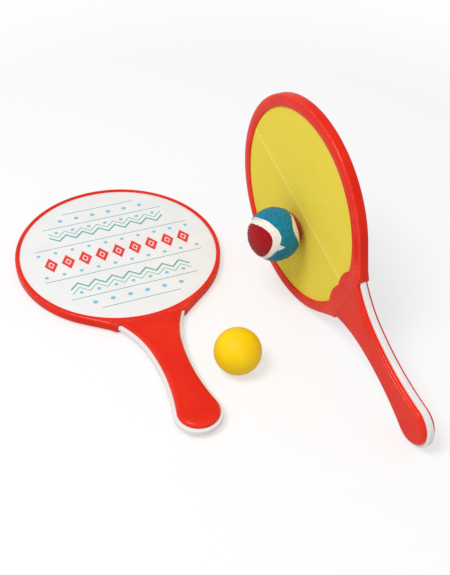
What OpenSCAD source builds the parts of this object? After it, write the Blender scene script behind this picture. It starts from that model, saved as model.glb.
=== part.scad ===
// Catch-and-tennis set: two round bats with a printed hitting face on one side and a
// loop-fabric catch pad on the other, a felt ball that clings to the pad and a plain ball.
// One bat lies face up, the other stands on its rim and handle end with the felt ball on its pad.
// In a bat's own frame the disc centre is the origin, the handle points to -Y, the printed
// face looks to +Z and the catch pad to -Z.

/* [Bat disc] */
// Outer diameter of the rim
disc_d = 190; // [150:1:240]
// Overall length of a bat, rim to handle end
bat_len = 321; // [270:1:400]
// Thickness of the rim
rim_t = 10; // [9:0.5:14]
// Thickness of the rim's outer wall
rim_wall = 2.5; // [2:0.1:4]
// Thickness of the rim's lips over the panel and the pad
lip_t = 1.5; // [1.2:0.1:2]
// Width of the lip round the printed face
face_lip_w = 4; // [3.5:0.5:8]
// Width of the lip round the catch pad
pad_lip_w = 10.5; // [6:0.5:15]
// Half width of the rim's straight edge at the handle
root_half_w = 31.5; // [31:0.5:38]
// Thickness of the printed face panel
panel_t = 1.5; // [1:0.1:2]
// Thickness of the foam backing under the catch pad
backing_t = 1.5; // [1:0.1:2]
// Thickness of the catch pad's loop fabric
pad_t = 1; // [0.6:0.1:1.5]

/* [Pad tongue] */
// Distance from the disc centre to the crests of the two lobes
tongue_y = 77.2; // [60:0.1:95]
// Half distance between the two lobe centres
lobe_half = 11.5; // [8:0.5:16]
// Radius of a lobe
lobe_r = 31; // [25:1:40]

/* [Handle] */
// Width of the core at the neck of the handle
neck_w = 29; // [24:0.5:34]
// Radius of the handle's round end
end_r = 20; // [18:0.5:26]
// Radius of the hollow flanks from the rim to the end
flare_r = 185; // [150:1:220]
// Thickness of the white core in the handle
core_t = 5; // [4:0.5:8]
// Ledge of the core that shows round each grip shell
ledge = 1.8; // [1.5:0.1:3.5]
// Height of a grip shell above the core
grip_h = 3.8; // [3.5:0.1:9]
// Wall of a grip shell
grip_wall = 2; // [1.6:0.1:2.4]
// Rounding of a grip shell's upper edges
grip_round = 3; // [2:0.1:3.2]
// Length of the ramp from the rim up to the full grip
ramp_len = 34; // [24:1:50]
// Diameter of the pegs that hold the grip shells to the core
peg_d = 5; // [4:0.5:8]
// Distance between neighbouring pegs
peg_pitch = 32; // [24:1:40]

/* [Balls] */
// Diameter of the felt ball
felt_d = 46; // [40:1:60]
// Wall of the felt ball's hollow plastic core
felt_core_wall = 1.5; // [1:0.1:3]
// Thickness of the felt ball's cream cover
cover_t = 1.8; // [1.2:0.1:3]
// Height of the red and teal felt panels above the cover
felt_raise = 0.7; // [0.4:0.1:1.2]
// Half angle of a felt panel's round ends, degrees
felt_lobe = 40; // [34:1:42]
// Half angle of a felt panel's waist, degrees
felt_waist = 18; // [12:1:20]
// Angle of the cream seam between a panel's round end and the other panel's waist, degrees
felt_seam = 17; // [12:1:20]
// Diameter of the plain ball
play_d = 40; // [30:1:50]
// Wall of the plain ball
play_wall = 0.8; // [0.5:0.1:1.5]

/* [Layout] */
// Direction of the lying bat's handle, degrees from -Y towards +X
bat_1_turn = 23.7; // [0:0.1:40]
// Direction of the standing bat's plane, degrees from -Y towards +X
bat_2_turn = 28; // [10:0.1:45]
// Clear distance from the lying bat's rim to the standing bat's plane
bats_gap = 28.5; // [10:0.5:80]
// How far the standing bat's centre is forward of the lying bat's centre
bat_2_forward = 100.5; // [60:0.5:130]
// Clear distance from the lying bat's neck to the plain ball
ball_gap = 15.5; // [5:0.5:40]
// How far past the neck the plain ball lies, towards the handle's end
ball_forward = 7; // [-20:0.5:30]
// Felt ball's place on the pad: below the bat's long axis
felt_side = 16.5; // [0:0.5:30]
// Felt ball's place on the pad: from the centre towards the handle
felt_along = 12; // [0:0.5:30]

/* [Fits] */
// Radial clearance of the disc layers in the rim
disc_fit = 0.2; // [0.1:0.05:0.5]
// Radial clearance of the pegs in the core
peg_fit = 0.1; // [0.05:0.05:0.3]
// Gap between the grip shells and the rim's straight edge
root_gap = 0.3; // [0.1:0.1:0.6]
// Gap between the felt ball and the pad
felt_gap = 0.2; // [0.1:0.1:0.3]
// Step from a grip shell's flanks in to its round end
cap_step = 0.15; // [0.1:0.05:0.3]
// Width of the key that joins the two rim halves
key_w = 0.9; // [0.6:0.1:1.2]
// Clearance round that key
key_fit = 0.1; // [0.05:0.05:0.2]

/* [Hidden] */
$fn = 96;
eps = 1;
red = "#e83424";
white = "#ece9e6";
yellow = "#e6d44b";
cream = "#f3ead6";
teal = "#1f87a3";
ball_yellow = "#f7d61e";

rim_r = disc_d / 2;
bore_r = rim_r - rim_wall;
face_r = rim_r - face_lip_w;
pad_r = rim_r - pad_lip_w;
layer_r = bore_r - disc_fit;
key_r = rim_r - rim_wall / 2;
key_h = key_w;

// Layers of the disc, from the pad to the face
deck = rim_t / 2 - lip_t;
pad_z = -deck;
backing_z = pad_z + pad_t;
core_z = backing_z + backing_t;
panel_z = deck - panel_t;

// Handle outline: hollow flanks of radius flare_r that run into the round end
end_y = bat_len - rim_r - end_r;
flare_x = neck_w / 2 + flare_r;
neck_y = end_y - sqrt(pow(flare_r + end_r, 2) - pow(flare_x, 2));
join_x = flare_x * end_r / (flare_r + end_r);
join_y = end_y - (end_y - neck_y) * end_r / (flare_r + end_r);
root_y = rim_r;
ramp_y = root_y + ramp_len;
flush_h = rim_t / 2 - core_t / 2;
ear_a = 2 * atan(root_half_w / rim_r);
// The handle starts inside the rim's bore
gate_y = bore_r * cos(asin(root_half_w / bore_r));

// The lying bat rests on the far edge of its rim and on the ramp's end under its handle
rest_tilt = atan((core_t / 2 + grip_h - rim_t / 2) / (rim_r + ramp_y));
rest_z = rim_r * sin(rest_tilt) + rim_t / 2 * cos(rest_tilt);
// The standing bat rests on its rim and on its round handle end
stand_tilt = asin((rim_r - end_r) / end_y);

// Directions of the two bats, then their disc centres about the lying bat's centre
along_1 = [sin(bat_1_turn), -cos(bat_1_turn), 0];
across_1 = [cos(bat_1_turn), sin(bat_1_turn), 0];
axis_1 = [sin(rest_tilt) * sin(-bat_1_turn), sin(rest_tilt) * cos(bat_1_turn), cos(rest_tilt)];
handle_1 = along_1 * cos(rest_tilt) + [0, 0, sin(rest_tilt)];
plane_2 = [sin(bat_2_turn), -cos(bat_2_turn), 0];
axis_2 = [cos(bat_2_turn), sin(bat_2_turn), 0];
handle_2 = plane_2 * cos(stand_tilt) - [0, 0, sin(stand_tilt)];
centre_1 = [0, 0, rest_z];
centre_2 = axis_2 * (rim_r + bats_gap + rim_t / 2) + plane_2 * bat_2_forward + [0, 0, rim_r];
play_r = play_d / 2;
play_c = across_1 * (neck_w / 2 + ball_gap + play_r) + along_1 * (neck_y + ball_forward) + [0, 0, play_r];

// Rounded edge of a grip shell's end: radius and height above the core
cap_r = end_r - ledge - cap_step;
grip_edge = [for (a = [0 : 22.5 : 90])
    [cap_r - grip_round * (1 - cos(a)), grip_h - grip_round * (1 - sin(a))]];

// The set's middle: furthest reach of the rims and the handle ends along X and Y
function reach(c, axis, r, t, u) = c * u + r * sqrt(1 - pow(axis * u, 2)) + t / 2 * abs(axis * u);
function end_reach(c, axis, u) = max(
    reach(c, axis, end_r, core_t, u),
    max([for (p = grip_edge) reach(c, axis, p[0], core_t + 2 * p[1], u)]));
function set_reach(u) = max(
    reach(centre_1, axis_1, rim_r, rim_t, u),
    reach(centre_2, axis_2, rim_r, rim_t, u),
    end_reach(centre_1 + handle_1 * end_y, axis_1, u),
    end_reach(centre_2 + handle_2 * end_y, axis_2, u));
function middle(u) = (set_reach(u) - set_reach(-u)) / 2;
set_shift = [-middle([1, 0, 0]), -middle([0, 1, 0]), 0];

// Turn of the felt ball's panels on the pad
felt_turn = [-93, 3, 31];
felt_r = felt_d / 2;
felt_core_r = felt_r - felt_raise - cover_t;
felt_c = [felt_side, -felt_along, pad_z - felt_gap - felt_r];
// The two felt panels' round ends stand this far from the middle of the panel's waist
lobe_turn = 180 - felt_waist - felt_lobe - felt_seam;
ball_fn = 128;

module at_bat_1() {
    translate(set_shift + centre_1) rotate([-rest_tilt, 0, bat_1_turn]) children();
}

module at_bat_2() {
    translate(set_shift + centre_2)
        rotate([0, 0, bat_2_turn])
            rotate([0, 90, 0])
                rotate([0, 0, stand_tilt])
                    children();
}

module at_felt_ball() {
    at_bat_2() translate(felt_c) rotate(felt_turn) children();
}

module at_play_ball() {
    translate(set_shift + play_c) children();
}

// Rim seen from the face: a circle with two straight ears that end at the handle's root
module rim_outline() {
    circle(rim_r);
    polygon([
        [0, 0],
        [-rim_r * sin(ear_a), -rim_r * cos(ear_a)],
        [-root_half_w, -root_y],
        [root_half_w, -root_y],
        [rim_r * sin(ear_a), -rim_r * cos(ear_a)]]);
}

// Flanks of the handle, drawn in by inset, from from_y to the spokes where the round end takes over
module flank_outline(inset, from_y) {
    difference() {
        polygon([
            [-2 * end_r, -from_y],
            [-2 * end_r, -join_y],
            [-join_x, -join_y],
            [0, -end_y],
            [join_x, -join_y],
            [2 * end_r, -join_y],
            [2 * end_r, -from_y]]);
        for (side = [-1, 1]) translate([side * flare_x, -neck_y]) circle(flare_r + inset, $fn = 360);
    }
}

// Handle seen from the face, drawn in by inset, from from_y to the end
module handle_outline(inset, from_y) {
    flank_outline(inset, from_y);
    translate([0, -end_y]) circle(end_r - inset);
}

module layer(z, t, r) {
    translate([0, 0, z]) linear_extrude(t) circle(r);
}

// Room in the rim for the handle's core
module handle_gate() {
    translate([0, 0, -core_t / 2])
        linear_extrude(core_t)
            handle_outline(-disc_fit, gate_y);
}

module key_ring(grow) {
    rotate_extrude()
        translate([key_r - key_w / 2 - grow, -eps])
            square([key_w + 2 * grow, eps + key_h + grow]);
}

// Half of the rim on the printed side, with a groove for the other half's key
module front_rim() {
    color(red)
    difference() {
        linear_extrude(rim_t / 2) rim_outline();
        layer(-eps, deck + eps, bore_r);
        layer(0, rim_t, face_r);
        handle_gate();
        key_ring(key_fit);
    }
}

// Half of the rim on the pad side, with the two-lobed tongue over the pad and the key
module rear_rim() {
    color(red)
    difference() {
        union() {
            translate([0, 0, -rim_t / 2]) linear_extrude(rim_t / 2) rim_outline();
            intersection() {
                key_ring(0);
                linear_extrude(key_h) rim_outline();
            }
        }
        layer(-deck, deck + rim_t, bore_r);
        translate([0, 0, -rim_t]) linear_extrude(rim_t) difference() {
            circle(pad_r);
            for (side = [-1, 1]) translate([side * lobe_half, -tongue_y - lobe_r]) circle(lobe_r);
        }
        handle_gate();
    }
}

// White core: a thin disc inside the rim that runs into the thick middle of the handle
module core() {
    color(white)
    difference() {
        union() {
            translate([0, 0, core_z]) linear_extrude(panel_z - core_z) {
                circle(layer_r);
                handle_outline(0, gate_y);
            }
            translate([0, 0, -core_t / 2]) linear_extrude(core_t) difference() {
                handle_outline(0, gate_y);
                circle(bore_r);
            }
        }
        pegs(peg_d / 2 + peg_fit, core_t);
    }
}

module face_panel() {
    color(white) layer(panel_z, panel_t, layer_r);
}

module pad_backing() {
    color(white) layer(backing_z, backing_t, layer_r);
}

module catch_pad() {
    color(yellow) layer(pad_z, pad_t, layer_r);
}

// Three pegs along the grip, centred on the core's middle plane
module pegs(r, h) {
    for (i = [-1, 0, 1])
        translate([0, -(ramp_y + end_y) / 2 + i * peg_pitch, -h / 2 - eps])
            cylinder(r = r, h = h + 2 * eps, $fn = 48);
}

// Ring that rounds off a flank's upper edge, about the flank's own centre
module flank_cutter(r, z) {
    arc = [for (a = [90 : -22.5 : 0])
        [r + grip_round * (1 - cos(a)), z - grip_round * (1 - sin(a))]];
    rotate_extrude($fn = 360)
        polygon(concat([[r - eps, z - grip_round], [r - eps, z + eps], [r + grip_round, z + eps]], arc));
}

// Grip shell on the printed side: ramps up from the rim, round edges, hollow, three pegs
module grip_shell() {
    top = core_t / 2 + grip_h;
    difference() {
        union() {
            difference() {
                translate([0, 0, core_t / 2]) linear_extrude(grip_h)
                    flank_outline(ledge, root_y + root_gap);
                for (side = [-1, 1]) translate([side * flare_x, -neck_y, 0])
                    flank_cutter(flare_r + ledge, top);
            }
            translate([0, -end_y, core_t / 2]) grip_end();
        }
        rotate([90, 0, 90]) linear_extrude(8 * end_r, center = true)
            polygon([
                [-root_y + eps, core_t / 2 + flush_h],
                [-root_y, core_t / 2 + flush_h],
                [-ramp_y, top],
                [-ramp_y, top + eps],
                [-root_y + eps, top + eps]]);
        translate([0, 0, core_t / 2 - eps]) linear_extrude(grip_h - grip_wall + eps)
            handle_outline(ledge + grip_wall, ramp_y);
    }
    difference() {
        pegs(peg_d / 2, 2 * (top - grip_wall));
        translate([-peg_d, -bat_len, -bat_len]) cube([2 * peg_d, bat_len, bat_len + peg_fit]);
    }
}

// Round end of a grip shell
module grip_end() {
    rotate_extrude() polygon(concat([[0, 0], [cap_r, 0]], grip_edge, [[0, grip_h]]));
}

module front_grip() {
    color(red) grip_shell();
}

module rear_grip() {
    color(red) mirror([0, 0, 1]) grip_shell();
}

module ball_shell(outer, inner) {
    difference() {
        sphere(outer, $fn = ball_fn);
        sphere(inner, $fn = ball_fn);
    }
}

// Felt panel in the shape of a dumb-bell: its waist on +X, its round ends bent round +Y and -Y
module felt_panel() {
    lobe_w = felt_r * sin(felt_lobe);
    waist_h = felt_r * sin(felt_waist);
    intersection() {
        ball_shell(felt_r, felt_r - felt_raise);
        union() {
            for (side = [-1, 1])
                rotate([0, 0, side * lobe_turn]) rotate([0, 90, 0]) cylinder(r = lobe_w, h = felt_d);
            translate([felt_r * cos(lobe_turn), -felt_d, -waist_h])
                cube([felt_d, 2 * felt_d, 2 * waist_h]);
        }
    }
}

module felt_ball_core() {
    color(white) ball_shell(felt_core_r, felt_core_r - felt_core_wall);
}

module felt_ball_cover() {
    color(cream) ball_shell(felt_r - felt_raise, felt_core_r);
}

module felt_ball_red_panel() {
    color(red) felt_panel();
}

module felt_ball_teal_panel() {
    color(teal) rotate([90, 0, 180]) felt_panel();
}

// Half of the hollow plain ball
module play_ball_half() {
    rotate_extrude($fn = ball_fn) intersection() {
        difference() {
            circle(play_r, $fn = ball_fn);
            circle(play_r - play_wall, $fn = ball_fn);
        }
        square(play_d);
    }
}

module play_ball_upper_half() {
    color(ball_yellow) play_ball_half();
}

module play_ball_lower_half() {
    color(ball_yellow) rotate([180, 0, 0]) play_ball_half();
}

at_bat_1() front_rim();  // bat_1_front_rim
at_bat_1() rear_rim();  // bat_1_rear_rim
at_bat_1() core();  // bat_1_core
at_bat_1() face_panel();  // bat_1_face_panel
at_bat_1() pad_backing();  // bat_1_pad_backing
at_bat_1() catch_pad();  // bat_1_catch_pad
at_bat_1() front_grip();  // bat_1_front_grip
at_bat_1() rear_grip();  // bat_1_rear_grip
at_bat_2() front_rim();  // bat_2_front_rim
at_bat_2() rear_rim();  // bat_2_rear_rim
at_bat_2() core();  // bat_2_core
at_bat_2() face_panel();  // bat_2_face_panel
at_bat_2() pad_backing();  // bat_2_pad_backing
at_bat_2() catch_pad();  // bat_2_catch_pad
at_bat_2() front_grip();  // bat_2_front_grip
at_bat_2() rear_grip();  // bat_2_rear_grip
at_felt_ball() felt_ball_core();
at_felt_ball() felt_ball_cover();
at_felt_ball() felt_ball_red_panel();
at_felt_ball() felt_ball_teal_panel();
at_play_ball() play_ball_upper_half();
at_play_ball() play_ball_lower_half();
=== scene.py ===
# %% [markdown]
# # A tennis and catch set for children
# Two round bats, a felt ball and a plain ball. A bat has a printed hitting face on one side and a
# loop-fabric pad on the other, and the felt ball clings to that pad. The sizes and the joints come
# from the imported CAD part. This script makes the rounded, printed and furry surfaces that go over it.
# Every shape is a formula on a grid of numbers, so one changed value changes the whole piece.

import math

import bmesh
import bpy
import numpy as np
from mathutils import Matrix, Vector


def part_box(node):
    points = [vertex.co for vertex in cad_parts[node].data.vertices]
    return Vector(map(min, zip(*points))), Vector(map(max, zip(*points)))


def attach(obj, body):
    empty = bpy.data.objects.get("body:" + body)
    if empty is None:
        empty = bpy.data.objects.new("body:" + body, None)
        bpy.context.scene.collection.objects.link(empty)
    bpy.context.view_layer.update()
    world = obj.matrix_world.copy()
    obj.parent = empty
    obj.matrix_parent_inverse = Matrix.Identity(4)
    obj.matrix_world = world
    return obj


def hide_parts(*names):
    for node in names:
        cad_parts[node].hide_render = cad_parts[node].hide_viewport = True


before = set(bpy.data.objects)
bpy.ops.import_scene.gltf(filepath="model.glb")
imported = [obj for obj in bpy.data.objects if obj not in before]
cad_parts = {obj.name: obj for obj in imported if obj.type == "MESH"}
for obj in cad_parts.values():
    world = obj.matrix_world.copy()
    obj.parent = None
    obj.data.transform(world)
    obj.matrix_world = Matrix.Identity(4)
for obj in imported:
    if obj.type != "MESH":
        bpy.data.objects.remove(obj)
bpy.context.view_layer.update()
MM = 0.001

# %% [markdown]
# ## Where a bat is
# Both bats are the same, so each piece is drawn once in a bat's own frame: the disc's centre is the
# origin, the handle points to -Y, the printed face looks to +Z and the pad to -Z, all in millimetres.
# A turn and a centre then carry the points to their place in the set. The points themselves are moved
# and not the object, so that every object stays at the origin, as the CAD nodes do.

# %% Sizes and places of the bats
# The rim's radius and half its thickness, and how high the panel's face and its back lie
RIM_R = 95.0
RIM_HALF = 5.0
DECK = 3.5
PANEL_LOW = 2.0

# Half the handle core's thickness, a grip's height on it, and how far from the centre that is reached
CORE_HALF = 2.5
GRIP_H = 3.8
RAMP_Y = 129.0

# The round end of the handle: its radius, and how far from the disc's centre its middle lies
END_R = 20.0
END_Y = 206.0

# How far the bats are turned on the floor, in degrees
LYING_TURN = 23.7
STANDING_TURN = 28


def turn(axis, degrees):
    """A rotation about one axis, as a 3 by 3 array."""
    return np.array(Matrix.Rotation(math.radians(degrees), 3, axis))


# The lying bat leans on its grip, and the standing one on its rim and the end of its handle
rest_tilt = math.degrees(math.atan((CORE_HALF + GRIP_H - RIM_HALF) / (RIM_R + RAMP_Y)))
stand_tilt = math.degrees(math.asin((RIM_R - END_R) / END_Y))
BAT_TURNS = {
    "bat_1": turn("Z", LYING_TURN) @ turn("X", -rest_tilt),
    "bat_2": turn("Z", STANDING_TURN) @ turn("Y", 90) @ turn("Z", stand_tilt),
}


def bat_place(bat):
    """A bat's turn, and its disc's centre in metres: the middle of the CAD panel, less its height."""
    low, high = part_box(bat + "_face_panel")
    panel_middle = (PANEL_LOW + DECK) / 2 * MM
    return BAT_TURNS[bat], np.array((low + high) / 2) - BAT_TURNS[bat][:, 2] * panel_middle


PLACES = {bat: bat_place(bat) for bat in BAT_TURNS}
for bat, (spin, centre) in PLACES.items():
    print(bat, "centre in mm:", np.round(centre / MM, 2))

# %% [markdown]
# ## From a grid of points to a mesh
# A surface with two parameters is a grid with rows and columns. Its faces join each point to the next
# one in its row and in its column, so they can be worked out from the grid's size alone. A grid that
# closes on itself wraps round, and points that fall together, as at a pole, are merged afterwards.
# The place of each point in the piece's own frame is kept as an attribute, which the finishes read.

# %% Grids and pieces
MERGE = 0.001
SHARP = math.radians(40)


def grid_faces(rows, columns, wrap_rows=False, wrap_columns=False):
    """Corner numbers of a grid's four-sided faces. In one that wraps, the last row joins the first."""
    index = np.arange(rows * columns).reshape(rows, columns)
    if wrap_rows:
        index = np.vstack([index, index[:1]])
    if wrap_columns:
        index = np.hstack([index, index[:, :1]])
    corners = [index[:-1, :-1], index[:-1, 1:], index[1:, 1:], index[1:, :-1]]
    return np.stack(corners, axis=-1).reshape(-1, 4)


def make_piece(name, body, place, points, faces, finish, slot, node=None, edge=None, as_drawn=False):
    """A mesh from points in millimetres in the piece's own frame, carried to its place in the set. The
    edge is a share for each point: 1 where hands and floors wear it, and on the grips also where a pale
    line is painted as a highlight. Faces are turned to point outwards, unless they stay as drawn: in a
    hollow piece this would turn the inner wall round."""
    spin, centre = place
    points = points.reshape(-1, 3)
    mesh = bpy.data.meshes.new(name)
    mesh.from_pydata((points * MM @ spin.T + centre).tolist(), [], faces.tolist())
    local = mesh.attributes.new("local", "FLOAT_VECTOR", "POINT")
    local.data.foreach_set("vector", points.ravel())
    # The edge share holds wear, and on the grips' steps a painted highlight line.
    if edge is not None:
        wear_and_glint_layer = mesh.attributes.new("edge", "FLOAT", "POINT")
        wear_and_glint_layer.data.foreach_set("value", np.broadcast_to(edge, points.shape[:1]).ravel())
    shape = bmesh.new()
    shape.from_mesh(mesh)
    bmesh.ops.remove_doubles(shape, verts=shape.verts, dist=MERGE * MM)
    if not as_drawn:
        bmesh.ops.recalc_face_normals(shape, faces=shape.faces)
    shape.to_mesh(mesh)
    shape.free()
    mesh.shade_smooth()
    mesh.set_sharp_from_angle(angle=SHARP)
    mesh.materials.append(finish)
    piece = bpy.data.objects.new(name, mesh)
    bpy.context.scene.collection.objects.link(piece)
    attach(piece, body)
    if node:
        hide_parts(node)
    print(name, len(mesh.polygons), "faces")
    return piece


print("a grid of 3 by 4 points has", len(grid_faces(3, 4)), "faces")

# %% [markdown]
# ## Finishes as sums
# A material in Blender is a net of nodes. A net for "bright where the noise is high, but not at the
# edge" takes many Math nodes, and it is hard to read when each one is added by hand. Here a small class
# stands for one value on the surface. Its operators add the Math nodes, so the finish reads as a sum.

# %% Values on a surface
class Shade:
    """One value on a surface, from a node's output. Python's operators on it add Math nodes."""

    def __init__(self, tree, socket=None):
        self.tree = tree
        self.socket = socket

    def node(self, kind, settings, inputs, output=0):
        """Adds any node: its settings first, then the values or links of its inputs."""
        made = self.tree.nodes.new(kind)
        for key, value in settings.items():
            setattr(made, key, value)
        feed(made, inputs)
        return Shade(self.tree, made.outputs[output])

    def math(self, operation, *values):
        """Adds a Math node with that operation on the values."""
        return self.node("ShaderNodeMath", {"operation": operation}, dict(enumerate(values)))

    def __add__(self, other):
        return self.math("ADD", self, other)

    def __sub__(self, other):
        return self.math("SUBTRACT", self, other)

    def __rsub__(self, other):
        return self.math("SUBTRACT", other, self)

    def __mul__(self, other):
        return self.math("MULTIPLY", self, other)

    def __pow__(self, other):
        return self.math("POWER", self, other)

    def __abs__(self):
        return self.math("ABSOLUTE", self)

    __radd__ = __add__
    __rmul__ = __mul__


def feed(node, inputs):
    """Sets a node's inputs to plain values, or links them to values on the surface."""
    for key, value in inputs.items():
        if isinstance(value, Shade):
            value.tree.links.new(value.socket, node.inputs[key])
        else:
            node.inputs[key].default_value = value


def between(value, low, high):
    """0 below low, 1 above high and a straight line between; low may be the greater."""
    return value.node("ShaderNodeMapRange", {}, {"Value": value, "From Min": low, "From Max": high})


def noise(place, scale, detail=2.0):
    """Blender's noise texture, with about scale lumps to a millimetre."""
    return place.node("ShaderNodeTexNoise", {}, {"Vector": place, "Scale": scale, "Detail": detail})


def stretched(place, x, y, z):
    """The place with each axis scaled, so that a pattern on it becomes longer or shorter."""
    return place.node("ShaderNodeVectorMath", {"operation": "MULTIPLY"}, {0: place, 1: (x, y, z)})


def mix(mask, first, second):
    """The first colour where the mask is 0 and the second where it is 1. A Mix node's sockets for colours
    are its inputs 6 and 7 and its output 2."""
    return mask.node("ShaderNodeMix", {"data_type": "RGBA"}, {0: mask, 6: first, 7: second}, 2)


def bump(height, depth):
    """A normal that tilts as if the surface rose by depth millimetres where the height is 1."""
    return height.node("ShaderNodeBump", {}, {"Distance": depth * MM, "Height": height})


def srgb(red, green, blue):
    """A colour as it is read from a screen, 0 to 255, as the linear one that shaders take."""
    screen = np.array([red, green, blue]) / 255
    linear = np.where(screen <= 0.04045, screen / 12.92, ((screen + 0.055) / 1.055) ** 2.4)
    return (*linear.tolist(), 1.0)


def new_finish(name):
    """A material, its main shader, and the place on the piece in millimetres."""
    material = bpy.data.materials.new(name)
    material.use_nodes = True
    tree = material.node_tree
    place = Shade(tree).node("ShaderNodeAttribute", {"attribute_name": "local"}, {}, "Vector")
    return material, tree.nodes["Principled BSDF"], place


def count_nodes(*finishes):
    """Prints how many nodes each finish has."""
    for finish in finishes:
        print(finish.name, "finish:", len(finish.node_tree.nodes), "nodes")


print("a grey of 128 on a screen is", round(srgb(128, 128, 128)[0], 3), "in a shader")

# %% [markdown]
# ## Red moulded plastic
# Rims and grips are polystyrene from a polished mould: bright red, half glossy, with the faint orange
# peel of a cheap moulding. Play leaves short fine scuffs, which are duller and a touch paler than the
# rest, and it wears the edges. On the grips a pale line is also painted along the step to the top, as a
# painted highlight. Noise that is stretched along the bat gives the scuffs, and a finer noise gives the
# orange peel. Each piece says where its edges and that line are, so the wear and the painted highlight
# are only there.

# %% Red plastic finish
def red_plastic_finish():
    """Clouded red, mixed with a paler red by the scuffs, by worn edges, and along the grips' steps by a
    painted highlight.
    """
    material, shader, place = new_finish("red_plastic")
    clouds = noise(place, 0.03, 3)
    peel = noise(place, 0.55)
    scuffs = between(noise(stretched(place, 1.1, 0.12, 1.1), 0.5, 4), 0.62, 0.74)
    edge = place.node("ShaderNodeAttribute", {"attribute_name": "edge"}, {}, "Fac")
    # This mask is wear on the rims' and grips' edges, and a painted highlight along the grips' steps.
    wear_and_glint = edge * between(noise(place, 0.3, 4), 0.3, 0.6)
    colour = mix(between(clouds, 0.35, 0.65), srgb(223, 31, 7), srgb(231, 41, 12))
    colour = mix(scuffs * 0.12, colour, srgb(242, 84, 64))
    # Paler red where worn, and as a painted highlight line on the grips' steps.
    colour = mix(wear_and_glint * 0.5, colour, srgb(250, 126, 106))
    feed(shader, {
        "Base Color": colour,
        "Roughness": 0.2 + 0.06 * clouds + 0.08 * scuffs - 0.06 * wear_and_glint,
        "Normal": bump(peel + 0.1 * scuffs, 0.05),
        "Specular IOR Level": 0.2})
    return material


RED_PLASTIC = red_plastic_finish()
count_nodes(RED_PLASTIC)

# %% [markdown]
# ## The rims
# Each bat has two half rims that meet in the middle of its thickness. From the front a rim is a circle
# with two straight ears that run to the handle. A circle could be spun with a modifier, but the ears
# would need cutting and joining. Drawn as a radius for each angle, the ears are only a larger radius:
# a line that touches a circle lies at the circle's radius over the cosine of the angle from the touch.

# %% Outline of the rim and of the pad's opening
# The ears end at EAR_X to each side of the middle, and the core passes through as far out as GATE_X
EAR_X = 31.5
EAR_ROUND = 0.6
EAR = 2 * math.atan(EAR_X / RIM_R)
ROOT_LIMIT = 1.2
GATE_X = 30.5
GATE = math.atan(GATE_X / RIM_R)
GATE_EDGE = 0.001

# The opening over the pad, and the two round lobes that reach into it by the handle
PAD_R = 84.5
LOBE_X = 11.5
LOBE_Y = 108.2
LOBE_R = 31.0
LOBE_ROUND = 1.6


def soft_min(a, b, width):
    """The lower of two curves, with the corner where they cross rounded over that width."""
    share = np.clip(0.5 + 0.5 * (b - a) / width, 0, 1)
    return b + (a - b) * share - width * share * (1 - share)


def rim_outline(angle):
    """Radius at an angle from the handle: the lower of the line across the handle's root, which touches
    the circle at angle 0, and the ear, which touches it at the angle EAR, with a rounded corner. The
    line's angle has a limit, well past the ears, because at a right angle its radius has no end."""
    root = RIM_R / np.cos(np.minimum(np.abs(angle), ROOT_LIMIT))
    ear = RIM_R / np.cos(np.clip(EAR - np.abs(angle), 0, None))
    return soft_min(root, ear, EAR_ROUND)


def pad_opening(angle):
    """Radius of the opening over the pad: a circle, less two lobes by the handle. A ray meets a lobe's
    circle at b - sqrt(b^2 - c^2 + r^2), where b is how far along the ray the lobe's centre lies."""
    opening = np.full_like(angle, PAD_R)
    for lobe_x in (-LOBE_X, LOBE_X):
        along = lobe_x * np.sin(angle) + LOBE_Y * np.cos(angle)
        inside = along**2 - LOBE_X**2 - LOBE_Y**2 + LOBE_R**2
        hit = np.where((inside > 0) & (along > 0), along - np.sqrt(np.clip(inside, 0, None)), 2 * RIM_R)
        opening = soft_min(opening, hit, LOBE_ROUND)
    return opening


steps = np.linspace(-math.pi, math.pi, 720, endpoint=False)
gate_steps = np.array([GATE - GATE_EDGE, GATE + GATE_EDGE])
rim_angles = np.sort(np.concatenate([steps, gate_steps, -gate_steps]))
print("rim reaches", round(float(rim_outline(rim_angles).max()), 2), "mm at the ears")

# %% The half rims
# The bore, the opening over the face, how far the two lips are crowned, and the chamfer where they part
BORE_R = 92.5
FACE_R = 91.0
FACE_CROWN = 0.15
PAD_CROWN = 0.45
CHAMFER = 0.3

# The outer edge is rounded by ROUND_OUT, or ROUND_ROOT at the handle, with a change over ROUND_BLEND
ROUND_OUT = 2.0
ROUND_ROOT = 0.3
ROUND_BLEND = 0.09
ROUND_IN = 0.5

# The outer edge is rubbed most at RUB_DEEP under the top, and no further in than RUB_IN
RUB = 0.4
RUB_DEEP = 0.6
RUB_HALF = 1.2
RUB_IN = 1.5


def ease(t):
    """A step from 0 to 1 that starts and ends level: three t squared less two t cubed."""
    t = np.clip(t, 0, 1)
    return t * t * (3 - 2 * t)


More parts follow.
